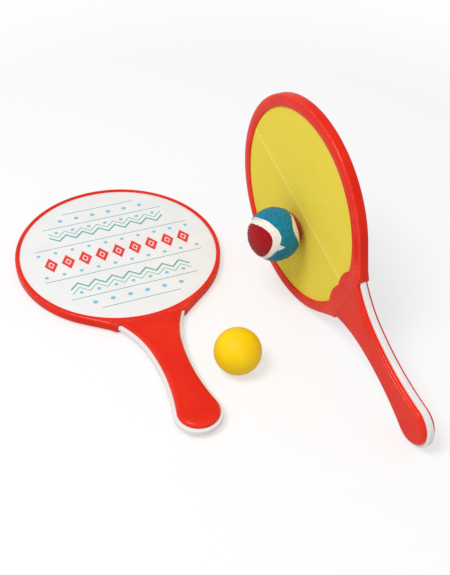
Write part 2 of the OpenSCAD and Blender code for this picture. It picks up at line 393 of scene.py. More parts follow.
def half_rim(inner, crown):
    """Profile carried round the rim: up the bore, under the lip, over its rounded edge and crowned top,
    round the outer edge by a quarter circle, and down the wall to a fine chamfer at the parting line.
    Where the handle's core passes through, nothing lies below the core's face."""
    outer = rim_outline(rim_angles)
    bore = np.full_like(outer, BORE_R)
    flat = np.zeros_like(outer)
    by_root = ease((np.abs(rim_angles) - GATE) / ROUND_BLEND)
    edge = ROUND_ROOT + (ROUND_OUT - ROUND_ROOT) * by_root
    t = np.linspace(0, 1, 9)[:, None]
    quarter = np.linspace(0, math.pi / 2, 7)[:, None]
    top_in = inner + ROUND_IN
    top_out = outer - edge
    top = RIM_HALF - crown
    radius = np.vstack([
        bore, bore, inner,
        top_in - ROUND_IN * np.cos(quarter),
        top_in + (top_out - top_in) * t,
        top_out + edge * np.sin(quarter),
        outer, outer - CHAMFER])
    height = np.vstack([
        flat, flat + DECK, flat + DECK,
        flat + top - ROUND_IN + ROUND_IN * np.sin(quarter),
        flat + top + crown * (1 - (2 * t - 1) ** 2),
        top - edge + edge * np.cos(quarter),
        flat + CHAMFER, flat])
    in_gate = np.abs(rim_angles) < GATE
    height = np.where(in_gate, np.maximum(height, CORE_HALF), height)
    return np.stack([radius * np.sin(rim_angles), -radius * np.cos(rim_angles), height], axis=-1)


def make_red_pieces(kind, ending, front, rear, faces, edge):
    """One kind of red piece, on the front and on the rear of both bats."""
    for bat, place in PLACES.items():
        for side, points in (("front", front), ("rear", rear)):
            name = f"{bat}_{side}_{kind}"
            make_piece(f"{name}_{ending}", bat, place, points, faces,
                       RED_PLASTIC, "red_plastic", name, edge)


front_half = half_rim(np.full_like(rim_angles, FACE_R), FACE_CROWN)
rear_half = half_rim(pad_opening(rim_angles), PAD_CROWN) * (1, 1, -1)
rim_faces = grid_faces(*front_half.shape[:2], wrap_rows=True, wrap_columns=True)
by_top = np.clip(1 - np.abs(front_half[..., 2] - RIM_HALF + RUB_DEEP) / RUB_HALF, 0, 1)
by_outside = np.hypot(front_half[..., 0], front_half[..., 1]) > RIM_R - RUB_IN
rim_edge = RUB * (by_top * by_outside).ravel()
make_red_pieces("rim", "moulding", front_half, rear_half, rim_faces, rim_edge)

# %% [markdown]
# ## The white core
# The core is one plate: a thin disc between the pad and the face, and a thick middle in the handle whose
# edge shows as a white band. The handle's outline is two long hollow arcs that run into a round end. It
# could be drawn as a curve and filled, but rows that run from the outline in to the handle's middle line
# keep clean four-sided faces, and a row's inset is exact: an arc drawn in is an arc of another radius.

# %% White plastic finish
def white_plastic_finish():
    """Clouded white, mixed with grey by long marks of dirt, which are duller too."""
    material, shader, place = new_finish("white_plastic")
    clouds = noise(place, 0.05, 3)
    marks = between(noise(stretched(place, 0.9, 0.2, 0.9), 0.6, 4), 0.64, 0.76)
    colour = mix(between(clouds, 0.35, 0.65), srgb(232, 229, 227), srgb(238, 236, 234))
    feed(shader, {
        "Base Color": mix(marks * 0.3, colour, srgb(206, 200, 196)),
        "Roughness": 0.36 + 0.1 * clouds + 0.15 * marks,
        "Normal": bump(noise(place, 0.6), 0.03)})
    return material


WHITE_PLASTIC = white_plastic_finish()
count_nodes(WHITE_PLASTIC)

# %% Outline of the handle
# A flank is an arc with its centre far to the side, level with the neck, and it touches the end's circle
FLARE_R = 185.0
FLARE_X = 199.5
NECK_Y = END_Y - math.sqrt((FLARE_R + END_R) ** 2 - FLARE_X**2)
JOIN = math.atan2(END_Y - NECK_Y, FLARE_X)
ROOT_FLARE = 4.4


def handle_loop(inset, start):
    """Outline drawn in by an inset, from the line y = -start round the end and back. On a flank, x is
    the far centre's x less the side of a right triangle whose long side is the arc's radius, plus a flare
    that grows with the square of the way to the root. The end is a circle. The third column is the y of
    each point's mate on the middle line."""
    q = np.linspace(0, 1, 70)
    end = np.linspace(JOIN, -math.pi / 2, 30)[1:]
    inset = np.broadcast_to(inset, (q.size + end.size,))
    flank_inset, end_inset = inset[:q.size], inset[q.size:]
    join_y = END_Y - (END_R - flank_inset) * math.sin(JOIN)
    flank_y = start + (join_y - start) * q
    flank_x = FLARE_X - np.sqrt((FLARE_R + flank_inset) ** 2 - (flank_y - NECK_Y) ** 2)
    flank_x += ROOT_FLARE * np.clip((RAMP_Y - flank_y) / (RAMP_Y - RIM_R), 0, 1) ** 2
    x = np.concatenate([flank_x, (END_R - end_inset) * np.cos(end)])
    y = np.concatenate([-flank_y, -END_Y + (END_R - end_inset) * np.sin(end)])
    mate = np.concatenate([-(start + (END_Y - start) * q), np.full(end.size, -END_Y)])
    right = np.column_stack([x, y, mate])
    left = right[-2::-1] * (-1, 1, 1)
    return np.vstack([right, left])


def toward_spine(loop, share):
    """Points a share of the way from the outline to their mates on the handle's middle line."""
    x = loop[:, 0] * (1 - share)
    y = loop[:, 1] + (loop[:, 2] - loop[:, 1]) * share
    return np.column_stack([x, y])


print("handle:", 2 * (FLARE_X - FLARE_R), "mm wide at its neck and", 2 * END_R, "mm at its end")

# %% The core's plate and disc
# The plate starts at GATE_Y from the centre, and the layers in the rim's bore have the radius LAYER_R
CORE_ROUND = 0.7
GATE_Y = 86.97
LAYER_R = 92.3
CORE_DISC_R = LAYER_R - 4
BACKING_HIGH = -1.0


def core_plate():
    """Rows from the middle line out over the top, round both edges by quarter circles and back below."""
    quarter = np.linspace(0, math.pi / 2, 5)
    rows = [(toward_spine(handle_loop(CORE_ROUND, GATE_Y), s), CORE_HALF) for s in (1, 0.5)]
    for a in quarter:
        loop = handle_loop(CORE_ROUND * (1 - math.sin(a)), GATE_Y)
        rows.append((loop[:, :2], CORE_HALF - CORE_ROUND * (1 - math.cos(a))))
    rows += [(flat, -height) for flat, height in reversed(rows)]
    return np.stack([np.column_stack([flat, np.full(len(flat), z)]) for flat, z in rows])


def disc_rings(radii, heights, count=180):
    """A profile of radii and heights carried round the disc's axis in a full turn."""
    around = np.linspace(0, 2 * math.pi, count, endpoint=False)
    ring = np.column_stack([np.cos(around), np.sin(around)])
    flat = np.asarray(radii)[:, None, None] * ring
    level = np.broadcast_to(np.asarray(heights)[:, None, None], (len(flat), count, 1))
    return np.concatenate([flat, level], axis=2)


plate = core_plate()
disc = disc_rings([0, CORE_DISC_R, CORE_DISC_R, 0], [BACKING_HIGH, BACKING_HIGH, PANEL_LOW, PANEL_LOW])
core_points = np.vstack([plate.reshape(-1, 3), disc.reshape(-1, 3)])
plate_faces = grid_faces(*plate.shape[:2], wrap_columns=True)
disc_faces = grid_faces(*disc.shape[:2], wrap_columns=True)
core_faces = np.vstack([plate_faces, disc_faces + plate.shape[0] * plate.shape[1]])
for bat, place in PLACES.items():
    name = f"{bat}_core"
    make_piece(f"{name}_plate", bat, place, core_points, core_faces,
               WHITE_PLASTIC, "white_plastic", name)

# %% [markdown]
# ## The grips
# A red shell lies on each side of the core in the handle, a little inside its edge, so that the core
# shows as a white line all round. The shell starts flush with the rim and ramps up to its full height.
# Its upper edge is rounded, and its flat top stands on a fine step, which catches the light as a thin
# line. A pale line is also painted along the step's upper part as a painted highlight. A bevel would
# have the same width all round, but here the rounding is smaller at the root and larger at the end. So
# each row of points has its own distance in from the outline and its own heights.

# %% Grip shells
# How far in from the core's edge a grip starts, and how far from the centre
LEDGE = 2.6
GRIP_START = 95.3
FLUSH = RIM_HALF - CORE_HALF

# The rounding of its upper edge and the step to its top, how worn the rounding is, and how pale the
# painted highlight on the step is
GRIP_ROUND = 2.1
GRIP_ROUND_ROOT = 0.7
GRIP_ROUND_END = 3.2
STEP_H = 0.45
STEP_W = 0.36
EDGE_RUB = 0.2
STEP_PAINTED_GLINT = 0.5


def grip_ramp(y):
    """From 0 at the root to 1 where the grip has its full height, along a quarter of a sine."""
    return np.sin(np.clip((-y - RIM_R) / (RAMP_Y - RIM_R), 0, 1) * math.pi / 2)


def grip_shell():
    """Rows from the middle line out below, up the side, round the upper edge by a quarter circle, up the
    step and in across the top. The second array says how pale each row is made: the round edge a little
    in its middle, as wear, and the upper part of the step the most, as a painted highlight."""
    base = handle_loop(LEDGE, GRIP_START)
    half = len(base) // 2 + 1
    ramp = grip_ramp(base[:, 1])
    tip = ease((-base[:, 1] - END_Y) / (END_R - LEDGE))
    edge = GRIP_ROUND_ROOT + (GRIP_ROUND - GRIP_ROUND_ROOT) * ramp
    edge = edge + (GRIP_ROUND_END - GRIP_ROUND) * tip
    top = FLUSH + (GRIP_H - FLUSH) * ramp
    step = STEP_H * ramp * (1 - tip)
    rows = [(toward_spine(base, 1), 0 * top, 0), (base[:, :2], 0 * top, 0)]
    for a in np.linspace(0, math.pi / 2, 11):
        loop = handle_loop(LEDGE + (edge * (1 - math.cos(a)))[:half], GRIP_START)
        rows.append((loop[:, :2], top - step - edge * (1 - math.sin(a)), EDGE_RUB * math.sin(2 * a)))
    for share in np.linspace(0, 1, 8)[1:]:
        loop = handle_loop(LEDGE + (edge + STEP_W * share)[:half], GRIP_START)
        # The step's upper rows get a painted highlight: a pale line in place of a glint.
        wear_and_glint_share = STEP_PAINTED_GLINT if 0.3 < share < 1 else 0
        rows.append((loop[:, :2], top - step * (1 - ease(share)), wear_and_glint_share))
    for share in np.linspace(0, 1, 7)[1:]:
        flat = toward_spine(loop, share)
        rows.append((flat, FLUSH + (GRIP_H - FLUSH) * grip_ramp(flat[:, 1]), 0))
    points = np.stack([np.column_stack([flat, CORE_HALF + z]) for flat, z, wear_and_glint_share in rows])
    return points, np.repeat([wear_and_glint_share for flat, z, wear_and_glint_share in rows], len(base))


# The second array is wear on the rounding and a painted highlight along the step.
front_grip, grip_wear_and_glint = grip_shell()
rear_grip = front_grip * (1, 1, -1)
grip_faces = grid_faces(*front_grip.shape[:2], wrap_columns=True)
make_red_pieces("grip", "shell", front_grip, rear_grip, grip_faces, grip_wear_and_glint)

# %% [markdown]
# ## The printed face
# The hitting face is a white plastic panel with a thin print in three colours. An image would be the
# usual way to print on a panel. Here the print is worked out in the material: each motif is a distance
# to a shape, such as a disc, a lozenge or a zigzag line, and the ink lies where it is below zero.
# The motifs stand in rows across the face: lozenges in the middle, and zigzags and dots on both sides.

# %% The print's shapes
SOFT_INK = 0.35
PRINT_R = 78.0
ROW_STEP = 16.0


def axis_of(place, axis):
    """One coordinate of a place."""
    return place.node("ShaderNodeSeparateXYZ", {}, {"Vector": place}, axis)


def length(x, y):
    """Distance from the origin: the root of the sum of the squares."""
    return (x * x + y * y) ** 0.5


def ink(distance):
    """1 inside a shape and 0 outside, with a soft edge."""
    return between(distance, SOFT_INK / 2, -SOFT_INK / 2)


def either(first, second):
    """The distance to the nearer of two shapes."""
    return first.math("MINIMUM", first, second)


def from_nearest(x, step):
    """How far a place is from the nearest multiple of a step, so that one motif repeats along a row."""
    return x.math("PINGPONG", x, step / 2)


print("print: a motif every", ROW_STEP, "mm, as far as", PRINT_R, "mm from the centre")

# %% The print's rows
# How far each row lies from the middle
NEAR_LINE, FAR_LINE, END_LINE = 22, 51, 69
ZIGZAG, THIN_ZIGZAG = 31, 37
NEAR_DOTS, ZIGZAG_DOTS, FAR_DOTS = 15.5, 44, 60

# Sizes of the motifs. A zigzag's slant is its slope's cosine, and a lozenge has a white frame in it
LINE_HALF = 0.4
ZIGZAG_HALF = 0.8
ZIGZAG_SLOPE = 0.9
ZIGZAG_SLANT = 0.74
DOT_R = 1.8
FAR_DOT_R = 2.2
LOZENGE_HALF = 6.4
LOZENGE_FLAT = 0.62
FRAME_HALF = 2.4
FRAME_LINE = 0.5

# How many steps the rows reach to each side
SHORT_ROW = 3.5
LONG_ROW = 4.5


def print_masks(place):
    """Where teal, red and light blue ink lie: rows of motifs, the same above and below the middle."""
    x, y = axis_of(place, "X"), axis_of(place, "Y")
    up = abs(y)
    inside = ink(length(x, y) - PRINT_R)
    side = from_nearest(x, ROW_STEP)
    half_way = ROW_STEP / 2 - side
    zigzag = abs(up - ZIGZAG - ZIGZAG_SLOPE * side) * ZIGZAG_SLANT - ZIGZAG_HALF
    thin_zigzag = abs(up - THIN_ZIGZAG - ZIGZAG_SLOPE * side) * ZIGZAG_SLANT - LINE_HALF
    lines = either(abs(up - NEAR_LINE) - LINE_HALF, abs(up - FAR_LINE) - LINE_HALF)
    lines = either(lines, abs(up - END_LINE) - LINE_HALF)
    lozenge = LOZENGE_FLAT * up + side - LOZENGE_HALF
    frame_line = abs(LOZENGE_FLAT * up + side - FRAME_HALF) - FRAME_LINE
    short_row = ink(abs(x) - SHORT_ROW * ROW_STEP)
    long_row = ink(abs(x) - LONG_ROW * ROW_STEP)
    near_dots = ink(length(half_way, up - NEAR_DOTS) - DOT_R)
    far_dots = ink(length(half_way, up - FAR_DOTS) - FAR_DOT_R)
    zigzag_dots = ink(length(side, up - ZIGZAG_DOTS) - DOT_R) * short_row
    teal = ink(lines) + ink(either(zigzag, thin_zigzag)) * short_row
    red = ink(lozenge) * (1 - ink(frame_line)) * long_row
    return teal * inside, red, (near_dots + far_dots + zigzag_dots) * inside


print("print: lozenges", 2 * LOZENGE_HALF, "mm wide, dots", 2 * DOT_R, "and", 2 * FAR_DOT_R, "mm")

# %% Printed face finish
def printed_face_finish():
    """White panel with the three inks laid over it, each broken by fine speckles and a little raised."""
    material, shader, place = new_finish("printed_face")
    clouds = noise(place, 0.04, 3)
    paper = mix(between(clouds, 0.35, 0.65), srgb(236, 237, 238), srgb(241, 241, 241))
    teal, red, blue = print_masks(place)
    speckle = between(noise(place, 1.3, 2), 0.2, 0.36)
    colour = mix(teal * speckle, paper, srgb(72, 172, 168))
    colour = mix(blue * speckle, colour, srgb(128, 194, 224))
    colour = mix(red * speckle, colour, srgb(234, 48, 35))
    printed = teal + red + blue
    feed(shader, {
        "Base Color": colour,
        "Roughness": 0.4 + 0.12 * clouds - 0.06 * printed,
        "Normal": bump(noise(place, 0.8) + 0.3 * printed, 0.02)})
    return material


PRINTED_FACE = printed_face_finish()
count_nodes(PRINTED_FACE)

# %% The face panel, as a disc with two sides
WAVES = 24
PANEL_EDGE = 0.5
PANEL_DIP = 0.04


def lumps(points, size, seed):
    """Soft unevenness, nearly all from -1 to 1: sine waves in seeded directions, about size across, added
    up and divided by 1.5 times the root of their number."""
    chance = np.random.default_rng(seed)
    waves = chance.normal(size=(3, WAVES)) * (2 * math.pi / size / math.sqrt(3))
    phase = chance.uniform(0, 2 * math.pi, WAVES)
    return np.sin(points @ waves + phase).sum(axis=-1) / math.sqrt(WAVES) / 1.5


def disc_square(radius, count):
    """A square grid bent into a disc, with no pole: x = u sqrt(1 - v^2/2) and y = v sqrt(1 - u^2/2)."""
    u, v = np.meshgrid(np.linspace(-1, 1, count), np.linspace(-1, 1, count), indexing="ij")
    return radius * u * np.sqrt(1 - v**2 / 2), radius * v * np.sqrt(1 - u**2 / 2)


def two_sided(upper, lower, wrap_columns=False):
    """The points and faces of a piece with two like sides: one grid, and another with its faces turned.
    The borders of a thin piece's grids fall together."""
    points = np.stack([upper, lower]).reshape(-1, 3)
    faces = grid_faces(*upper.shape[:2], wrap_columns=wrap_columns)
    return points, np.vstack([faces, faces[:, ::-1] + len(points) // 2])


def disc_sheet(radius, low, high, edge, count, relief=None):
    """A disc whose upper and lower sides close in to the middle over the last few millimetres, along a
    quarter ellipse. A relief, worked out at each place, is added to the side away from the core."""
    x, y = disc_square(radius, count)
    inward = np.clip((radius - np.hypot(x, y)) / edge, 0, 1)
    half = (high - low) / 2 * np.sqrt(np.clip(1 - (1 - inward) ** 2, 0, None))
    middle = (high + low) / 2
    rise = np.zeros_like(x) if relief is None else relief(x, y) * inward
    upper = middle + half + (rise if middle > 0 else 0)
    lower = middle - half - (rise if middle < 0 else 0)
    return two_sided(np.stack([x, y, upper], axis=-1), np.stack([x, y, lower], axis=-1))


def panel_relief(x, y):
    """A moulded panel isn't quite flat: it dips by a few hundredths of a millimetre between its ribs."""
    return -PANEL_DIP + PANEL_DIP * lumps(np.stack([x, y, 0 * x], axis=-1), size=70, seed=3)


for bat, place in PLACES.items():
    points, faces = disc_sheet(LAYER_R, PANEL_LOW, DECK, PANEL_EDGE, count=120, relief=panel_relief)
    name = f"{bat}_face_panel"
    make_piece(f"{name}_sheet", bat, place, points, faces, PRINTED_FACE, "printed_sheet", name)

# %% [markdown]
# ## The catch pad
# The pad is loop fabric on a thin foam disc: a short, dense yellow nap that the felt ball's hooks hold.
# It was folded once, and a raised line is left along the middle, which is painted paler as a painted
# highlight. Its edge is held all round under the rim's lip. The nap is too fine for single fibres at
# this size, so the sheet gets a small uneven relief, a material with sheen, and a fine bump at the scale
# of the loops.

# %% Loop fabric and foam finishes
# The crease is the line x = CREASE_X + CREASE_SLOPE y
CREASE_X = -1.14
CREASE_SLOPE = 0.0493
CREASE_HIGH = 0.3
CREASE_WIDE = 1.6


def loop_fabric_finish():
    """Yellow, darker in the nap's hollows as painted shade and paler at its tips, in soft patches,
    with a painted highlight along the crease.
    """
    material, shader, place = new_finish("loop_fabric")
    nap = noise(place, 0.9, 4)
    patches = noise(place, 0.05, 3)
    x, y = axis_of(place, "X"), axis_of(place, "Y")
    fold = between(abs(x - CREASE_SLOPE * y - CREASE_X), 1.7 * CREASE_WIDE, 0.2 * CREASE_WIDE)
    # Darker where the nap's bump is low: painted shade in its hollows.
    colour = mix(between(nap, 0.3, 0.7), srgb(226, 206, 60), srgb(243, 224, 84))
    colour = mix(between(patches, 0.3, 0.75) * 0.4, colour, srgb(233, 208, 62))
    # A paler line along the crease: a painted highlight on the fold's ridge.
    colour = mix(fold * 0.4, colour, srgb(250, 236, 130))
    feed(shader, {
        "Base Color": colour,
        "Roughness": 0.9 + 0.08 * nap,
        "Normal": bump(nap, 0.3),
        "Sheen Weight": 0.2,
        "Sheen Roughness": 0.5,
        "Sheen Tint": srgb(250, 238, 150),
        "Specular IOR Level": 0.15})
    return material


def foam_finish():
    """White foam: round cells, deeper at their middles and darker there as painted shade."""
    material, shader, place = new_finish("foam_backing")
    cells = place.node("ShaderNodeTexVoronoi", {}, {"Vector": place, "Scale": 1.6})
    # Darker at the cells' middles: painted shade in their hollows.
    colour = mix(between(cells, 0.1, 0.6), srgb(226, 224, 216), srgb(242, 240, 232))
    feed(shader, {"Base Color": colour, "Roughness": 0.9 - 0.1 * cells, "Normal": bump(cells, 0.15)})
    return material


LOOP_FABRIC = loop_fabric_finish()
FOAM = foam_finish()
count_nodes(LOOP_FABRIC, FOAM)

# %% Pad and foam discs
PAD_HIGH = -2.5
PAD_EDGE = 1.0
TUFT = 0.06


def pad_relief(x, y):
    """Nap in patches and tufts that lowers the surface a little, and the fold: a ridge of bell shape
    along a straight line that crosses the pad near its middle."""
    spot = np.stack([x, y, 0 * x], axis=-1)
    tufts = TUFT * lumps(spot, size=3.2, seed=5) + TUFT * lumps(spot, size=24, seed=6) - 2 * TUFT
    fold = np.exp(-((x - CREASE_SLOPE * y - CREASE_X) / CREASE_WIDE) ** 2)
    return tufts + CREASE_HIGH * fold


for bat, place in PLACES.items():
    points, faces = disc_sheet(LAYER_R, PAD_HIGH, BACKING_HIGH, PAD_EDGE, count=60)
    foam = make_piece(f"{bat}_pad_foam", bat, place, points, faces,
                      FOAM, "foam_backing", f"{bat}_pad_backing")
    points, faces = disc_sheet(LAYER_R, -DECK, PAD_HIGH, PAD_EDGE, count=200, relief=pad_relief)
    pad = make_piece(f"{bat}_pad_fabric", bat, place, points, faces,
                     LOOP_FABRIC, "loop_fabric", f"{bat}_catch_pad")

# %% [markdown]
# ## The felt ball
# A hollow plastic ball wears a cream felt cover with a red and a teal felt panel on it. The panels are
# cut like those of a tennis ball: each is a strip with two round ends that bends round the ball, and the
# two lock together. On a ball of radius 1 such a seam is where A x + y^2 - z^2 has one value. Solved for
# the angle away from the strip's middle line, this gives each panel's edge directly.

# %% The panels' seam
FELT_R = 23.0
COVER_R = 22.3
CORE_R = 20.5
LOBE_REACH = math.radians(145)
WAIST = math.radians(18)
SEAM_A = (math.sin(LOBE_REACH) ** 2 + math.sin(WAIST) ** 2) / (math.cos(WAIST) - math.cos(LOBE_REACH))
SEAM_G = SEAM_A * math.cos(WAIST) - math.sin(WAIST) ** 2

# Where the ball clings to the pad, its gap to it, and how its seam is turned there
FELT_X = 16.5
FELT_Y = -12.0
FELT_GAP = 0.2
felt_turn = turn("Z", 31) @ turn("Y", 3) @ turn("X", -93)
spin_2, centre_2 = PLACES["bat_2"]
felt_middle = np.array([FELT_X, FELT_Y, -DECK - FELT_GAP - FELT_R])
FELT_PLACE = (spin_2 @ felt_turn, centre_2 + spin_2 @ felt_middle * MM)


def half_width(phi):
    """The strip's half width as an angle: the cosine c solves (1 + sin^2) c^2 + A cos c = 1 + G."""
    square = 1 + np.sin(phi) ** 2
    linear = SEAM_A * np.cos(phi)
    c = (np.sqrt(linear**2 + 4 * square * (1 + SEAM_G)) - linear) / (2 * square)
    return np.arccos(np.clip(c, -1, 1))


def on_ball(phi, omega):
    """Unit direction at an angle along the strip and an angle away from its middle line."""
    return np.stack([np.cos(omega) * np.cos(phi), np.cos(omega) * np.sin(phi), np.sin(omega)], axis=-1)


print("seam: A", round(SEAM_A, 3), "G", round(SEAM_G, 3))

# %% Felt finishes
def felt_finish(name, dark, light, fleck):
    """Felt is pressed fibre: a mottled colour with paler flecks of loose fibre, sheen and no gloss."""
    material, shader, place = new_finish(name)
    wool = noise(place, 0.8, 5)
    tufts = noise(place, 0.22, 3)
    flecks = between(noise(stretched(place, 1, 1, 0.4), 1.5, 4), 0.6, 0.75)
    colour = mix(between(wool, 0.32, 0.68), dark, light)
    colour = mix(flecks * 0.3, colour, fleck)
    feed(shader, {
        "Base Color": colour,
        "Roughness": 0.9 + 0.1 * tufts,
        "Normal": bump(wool + 0.6 * tufts, 0.45),
        "Sheen Weight": 0.12,
        "Sheen Roughness": 0.6,
        "Specular IOR Level": 0.1})
    return material


FELTS = {
    "cream": felt_finish("cream_felt", srgb(234, 226, 214), srgb(248, 243, 235), srgb(252, 250, 246)),
    "red": felt_finish("red_felt", srgb(132, 6, 16), srgb(182, 16, 26), srgb(200, 60, 66)),
    "teal": felt_finish("teal_felt", srgb(4, 100, 132), srgb(26, 144, 174), srgb(96, 182, 200)),
}
count_nodes(*FELTS.values())

# %% Loose fibres
# A fibre's width, length, lean and the depth of its root. None stand where the cosine of the angle to the
# pad is over PAD_COSINE, and TRIES times as many places are drawn as there are fibres
FIBRE_WIDE = 0.07
FIBRE_SHORTEST = 0.6
FIBRE_LONGEST = 1.5
FIBRE_LEAN = 0.55
ROOT_DEEP = 0.25
PAD_COSINE = 0.9
TRIES = 6


def seam_value(direction):
    """A x + y^2 - z^2 at a unit direction: over G on the red panel, under -G on the teal one."""
    x, y, z = np.moveaxis(direction, -1, 0)
    return SEAM_A * x + y**2 - z**2


def fuzz(name, radius, low, high, count, seed):
    """Loose fibres where the seam's value lies between low and high. Each is a spike with three sides
    that starts just under the felt and leans away from the straight line out of the ball. Those that
    would stand in the pad are left out."""
    chance = np.random.default_rng(seed)
    root = chance.normal(size=(count * TRIES, 3))
    root /= np.linalg.norm(root, axis=1, keepdims=True)
    value = seam_value(root)
    to_pad = felt_turn.T @ np.array([0, 0, 1])
    root = root[(value > low) & (value < high) & (root @ to_pad < PAD_COSINE)][:count]
    lean = root + FIBRE_LEAN * chance.normal(size=root.shape)
    lean /= np.linalg.norm(lean, axis=1, keepdims=True)
    aside = np.cross(lean, chance.normal(size=root.shape))
    aside *= FIBRE_WIDE / np.linalg.norm(aside, axis=1, keepdims=True)
    across = np.cross(lean, aside)
    foot = root * (radius - ROOT_DEEP)
    tip = foot + lean * chance.uniform(FIBRE_SHORTEST, FIBRE_LONGEST, (len(root), 1))
    back = foot - 0.5 * aside
    points = np.stack([tip, foot + aside, back + across, back - across], axis=1)
    corners = np.array([[0, 1, 2], [0, 2, 3], [0, 3, 1], [3, 2, 1]])
    faces = (4 * np.arange(len(root))[:, None, None] + corners).reshape(-1, 3)
    return make_piece(f"felt_ball_{name}_fuzz", "felt_ball", FELT_PLACE, points, faces,
                      FELTS[name], f"{name}_felt", as_drawn=True)


print("seam value at the middle of the red panel:", round(float(seam_value(np.array([1.0, 0, 0]))), 3))

# %% The shape of a panel
# How deep a panel is sunk in the cover, how its edges waver, and how uneven its surface is
SUNK = 0.15
WAVER = 0.022
WAVER_SIZE = 2.2
WAVER_RATE = 9
FLUFF = 0.12
FLUFF_LOW = 0.14
FLUFF_SIZE = 4

# The open V in one strip: where it is along the strip, half its width, and its depth
NICK_AT = math.radians(-29.5)
NICK_HALF = math.radians(8)
NICK_DEEP = math.radians(19)

# One strip is cut short by SHORT_CUT to LONG_CUT, and the other is fuller at one end by FULL_END. Both
# change over the angle MIDDLE, and fade out where the strip's half width is less than TIP_ROOM
SHORT_CUT = math.radians(3)
LONG_CUT = math.radians(8)
FULL_END = math.radians(6.5)
MIDDLE = math.radians(50)
TIP_ROOM = math.radians(20)


def felt_panel(seed, nicked):
    """The strip as a grid: q runs along it and s across it. Both edges waver as hand-cut felt does. One
    edge of the nicked strip is cut a little short, more so at one end, with a V left open in it. One end
    of the other strip is a little fuller. The felt thins to nothing at its edges."""
    q = np.linspace(-1, 1, 161)[:, None]
    s = np.linspace(-1, 1, 61)[None, :]
    phi = LOBE_REACH * np.sin(q * math.pi / 2)
    wide = half_width(phi)
    along = np.concatenate([WAVER_RATE * phi, 0 * q, 0 * q], axis=1)
    waver = [WAVER * lumps(along, WAVER_SIZE, seed + side)[:, None] for side in (0, 1)]
    room = np.clip(wide / TIP_ROOM, 0, 1)
    cut = SHORT_CUT + (LONG_CUT - SHORT_CUT) * ease(phi / MIDDLE)
    notch = NICK_DEEP * np.clip(1 - np.abs(phi - NICK_AT) / NICK_HALF, 0, 1)
    nick = (notch + cut) * nicked * room
    fuller = FULL_END * ease(-phi / MIDDLE) * (1 - nicked) * room
    low = -wide * (1 + waver[0]) - fuller
    high = wide * (1 + waver[1]) + fuller - nick
    omega = (low + high) / 2 + (high - low) / 2 * s
    direction = on_ball(phi, omega)
    thick = (np.sqrt(1 - s**8) * np.sqrt(np.clip(1 - q**40, 0, None)))[..., None]
    fluff = FLUFF * lumps(direction * FELT_R, FLUFF_SIZE, seed + 2)[..., None] - FLUFF_LOW
    base = COVER_R - SUNK
    outer = direction * (base + thick * (FELT_R - base + fluff))
    return outer, np.broadcast_to(direction * base, outer.shape)


def strip_area():
    """The flat strip's area: twice the sine of its half width, added up along it, times r squared."""
    phi = np.linspace(-LOBE_REACH, LOBE_REACH, 2000)
    return float(2 * np.sin(half_width(phi)).mean() * 2 * LOBE_REACH * (FELT_R * MM) ** 2)


print("felt strip's area in square metres:", round(strip_area(), 6))

# %% The two panels
PANEL_FIBRES = 2600
PANEL_FUZZ = 1.08 * SEAM_G

# Each panel's colour, its seed, if it has the nick, and the seam values between which its fibres stand
PANELS = (
    ("red", 11, 0, PANEL_FUZZ, 2),
    ("teal", 21, 1, -2, -PANEL_FUZZ),
)
teal_turn = turn("Z", 180) @ turn("X", 90)
for colour, seed, nicked, low, high in PANELS:
    outer, inner = felt_panel(seed, nicked)
    if colour == "teal":
        outer, inner = outer @ teal_turn.T, inner @ teal_turn.T
    name = f"felt_ball_{colour}_panel"
    panel = make_piece(f"{name}_felt", "felt_ball", FELT_PLACE, *two_sided(outer, inner),
                       FELTS[colour], f"{colour}_felt", name)
    fibres = fuzz(colour, FELT_R, low, high, PANEL_FIBRES, seed + 5)

# %% The cream cover and the plastic core
CORE_IN = 19.0
CORE_GAP = 0.05
COVER_RELIEF = 0.1
COVER_FIBRES = 2200
COVER_FUZZ = 0.6 * SEAM_G


def ball_shell(outer, inner, relief):
    """A hollow ball: latitude from pole to pole and longitude round the axis, once for the outside,
    which may be uneven, and once for the inside with its faces turned to look into the hollow."""
    lat = np.linspace(-math.pi / 2, math.pi / 2, 60)[:, None]
    lon = np.linspace(0, 2 * math.pi, 120, endpoint=False)[None, :]
    flat = np.cos(lat)
    direction = np.stack([flat * np.cos(lon), flat * np.sin(lon), np.sin(lat) + 0 * lon], axis=-1)
    uneven = relief * (lumps(direction * outer, FLUFF_SIZE, seed=31)[..., None] - 1)
    return two_sided(direction * (outer + uneven), direction * inner, wrap_columns=True)


points, faces = ball_shell(COVER_R, CORE_R, COVER_RELIEF)
cover = make_piece("felt_ball_cover_felt", "felt_ball", FELT_PLACE, points, faces,
                   FELTS["cream"], "cream_felt", "felt_ball_cover", as_drawn=True)
fibres = fuzz("cream", COVER_R, -COVER_FUZZ, COVER_FUZZ, COVER_FIBRES, seed=41)
points, faces = ball_shell(CORE_R - CORE_GAP, CORE_IN, 0)
make_piece("felt_ball_core_shell", "felt_ball", FELT_PLACE, points, faces,
           WHITE_PLASTIC, "ball_core", "felt_ball_core", as_drawn=True)

# %% [markdown]
# ## The plain ball
# The second ball is a hollow one of yellow plastic, like a table tennis ball: two half shells, welded at
# the equator, with a satin skin and a few scuffs. Each half is a profile that goes down outside to a
# fine dip at the weld and back up inside, carried round the axis.

